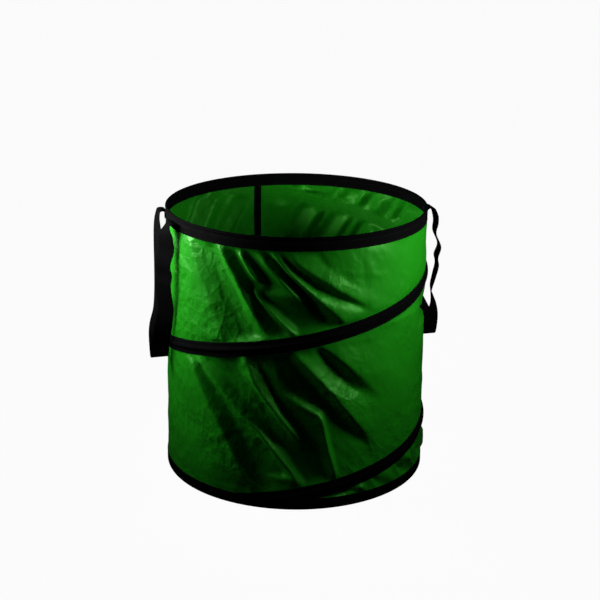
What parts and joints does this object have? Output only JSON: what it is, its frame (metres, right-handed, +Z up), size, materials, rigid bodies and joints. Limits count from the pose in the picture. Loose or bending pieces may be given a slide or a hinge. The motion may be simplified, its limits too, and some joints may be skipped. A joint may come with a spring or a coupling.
{
  "type": "pop up leaf bag",
  "caption": "Round pop-up fabric leaf bag: open top, flat base, wire hoops and a spiral wire in sewn tape, webbing loop handles on both sides; it collapses flat.",
  "frame": {"origin": "on the floor under the middle of the bag", "axes": "+Z up; the handles are at +X and -X; the front of the bag looks along -Y"},
  "size_m": [0.6487, 0.56, 0.5749],
  "materials": {
    "green_fabric": "satiny coated woven polyester, crumpled",
    "black_tape": "matte woven binding tape",
    "black_webbing": "matte ribbed webbing",
    "stitching": "bonded thread",
    "spring_steel": "drawn spring wire",
    "cap_vinyl": "soft vinyl"
  },
  "bodies": {
    "base": {"side_panel": "green_fabric", "base_panel": "green_fabric", "side_seam_binding": "black_tape", "bottom_binding": "black_tape", "bottom_hoop_wire": "spring_steel", "bottom_hoop_ferrule": "spring_steel", "spiral_sleeve": "black_tape", "spiral_wire": "spring_steel", "spiral_wire_upper_cap": "cap_vinyl", "spiral_wire_lower_cap": "cap_vinyl"},
    "top_rim": {"top_binding": "black_tape", "top_hoop_wire": "spring_steel", "top_hoop_ferrule": "spring_steel", "left_handle_front_tab": "black_webbing", "left_handle_rear_tab": "black_webbing", "right_handle_front_tab": "black_webbing", "right_handle_rear_tab": "black_webbing", "left_handle_front_stitching": "stitching", "left_handle_rear_stitching": "stitching", "right_handle_front_stitching": "stitching", "right_handle_rear_stitching": "stitching"},
    "left_handle": {"left_handle_loop": "black_webbing"},
    "right_handle": {"right_handle_loop": "black_webbing"}
  },
  "joints": [
    {"name": "collapse", "type": "slide", "parent": "base", "child": "top_rim", "axis": [0, 0, 1], "range_m": [-0.52, 0], "stiffness_N_per_m": 35, "springref_m": 0.2, "deforming": ["side_panel", "side_seam_binding", "spiral_sleeve", "spiral_wire", "spiral_wire_upper_cap", "spiral_wire_lower_cap"]},
    {"name": "left_handle_swing", "type": "hinge", "parent": "top_rim", "child": "left_handle", "pos_m": [-0.2885, 0, 0.5616], "axis": [0, 1, 0], "range_deg": [0, 170]},
    {"name": "right_handle_swing", "type": "hinge", "parent": "top_rim", "child": "right_handle", "pos_m": [0.2885, 0, 0.5616], "axis": [0, -1, 0], "range_deg": [0, 170]}
  ]
}
